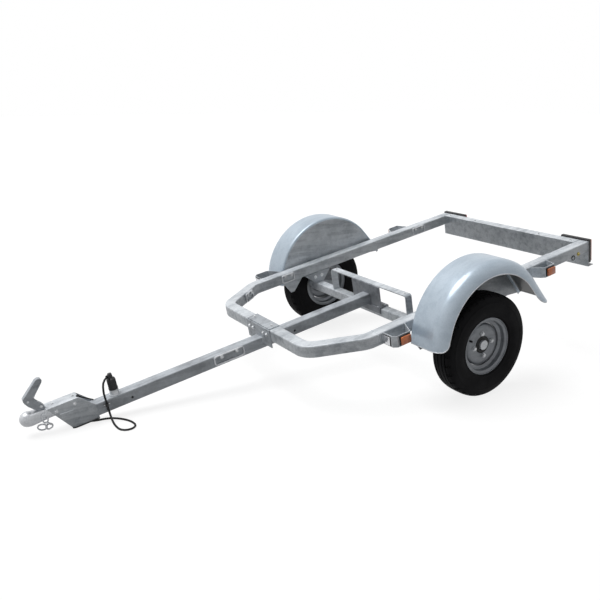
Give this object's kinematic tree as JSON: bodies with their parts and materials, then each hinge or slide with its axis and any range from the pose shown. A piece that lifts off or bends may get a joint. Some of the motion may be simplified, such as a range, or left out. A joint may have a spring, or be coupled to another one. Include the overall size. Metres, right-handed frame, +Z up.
{
  "type": "trailer chassis",
  "caption": "Galvanised single-axle trailer chassis parked nose-down, with drawbar, ball coupling, hooped tube frame, mudguards, lamps and turning wheels.",
  "frame": {"origin": "on the floor at the middle of the parked trailer's box, measured without the free lamp cable and its plug", "axes": "+Z up, -Y towards the coupling, +X to the trailer's left; the trailer is parked with its coupling casing on the floor, so its frame slopes down to the front by 10.6 degrees about the wheel axis, which runs along X"},
  "size_m": [1.564, 2.9817, 0.6834],
  "materials": {
    "galvanised_steel": "hot-dip galvanised, satin, bluish-white on top",
    "dull_zinc": "hot-dip galvanised, dull grey",
    "guard_sheet": "smooth zinc-coated sheet, silver-blue",
    "plated_steel": "bright zinc plate",
    "wheel_steel": "grey steel, satin",
    "tyre_rubber": "matt black rubber",
    "black_rubber": "semi-matt black",
    "black_plastic": "fine-grained black",
    "amber_lens": "clear amber",
    "red_lens": "clear dark red",
    "clear_lens": "clear, faceted behind"
  },
  "bodies": {
    "chassis": {"axle_beam": "galvanised_steel", "axle_clamp": "dull_zinc", "axle_hanger_left": "dull_zinc", "axle_hanger_right": "dull_zinc", "cable_clip": "black_plastic", "cable_grommet": "black_rubber", "coupling_casing": "galvanised_steel", "coupling_handle": "plated_steel", "coupling_head": "plated_steel", "drawbar": "galvanised_steel", "front_hoop": "galvanised_steel", "front_plate": "dull_zinc", "front_rail_seat": "dull_zinc", "front_reflector_left": "clear_lens", "front_reflector_right": "clear_lens", "guard_rail_left": "galvanised_steel", "guard_rail_right": "galvanised_steel", "lamp_bracket_front_left": "galvanised_steel", "lamp_bracket_front_right": "galvanised_steel", "lamp_bracket_rear_left": "galvanised_steel", "lamp_bracket_rear_right": "galvanised_steel", "light_cable": "black_rubber", "light_plug": "black_plastic", "mid_plate": "dull_zinc", "mid_strap": "galvanised_steel", "mudguard_cheek_left": "guard_sheet", "mudguard_cheek_right": "guard_sheet", "mudguard_left": "guard_sheet", "mudguard_right": "guard_sheet", "plug_holder": "dull_zinc", "rear_crossmember": "galvanised_steel", "rear_lamp_left": "black_plastic", "rear_lamp_right": "black_plastic", "rear_lens_left": "red_lens", "rear_lens_right": "red_lens", "safety_chain": "plated_steel", "side_marker_front_left": "amber_lens", "side_marker_front_right": "amber_lens", "side_marker_rear_left": "amber_lens", "side_marker_rear_right": "amber_lens", "side_tube_left": "galvanised_steel", "side_tube_right": "galvanised_steel", "swing_arm_left": "dull_zinc", "swing_arm_right": "dull_zinc", "tie_ring_drawbar": "plated_steel", "tie_ring_front_left": "plated_steel", "tie_ring_front_right": "plated_steel", "tie_ring_rear_left": "plated_steel", "tie_ring_rear_right": "plated_steel"},
    "wheel_left": {"tyre_left": "tyre_rubber", "rim_left": "wheel_steel", "hub_left": "galvanised_steel"},
    "wheel_right": {"tyre_right": "tyre_rubber", "rim_right": "wheel_steel", "hub_right": "galvanised_steel"}
  },
  "joints": [
    {"name": "wheel_turn_left", "type": "hinge", "parent": "chassis", "child": "wheel_left", "pos_m": [0.6795, 0.50864, 0.257], "axis": [1, 0, 0], "continuous": true},
    {"name": "wheel_turn_right", "type": "hinge", "parent": "chassis", "child": "wheel_right", "pos_m": [-0.6795, 0.50864, 0.257], "axis": [1, 0, 0], "continuous": true}
  ]
}
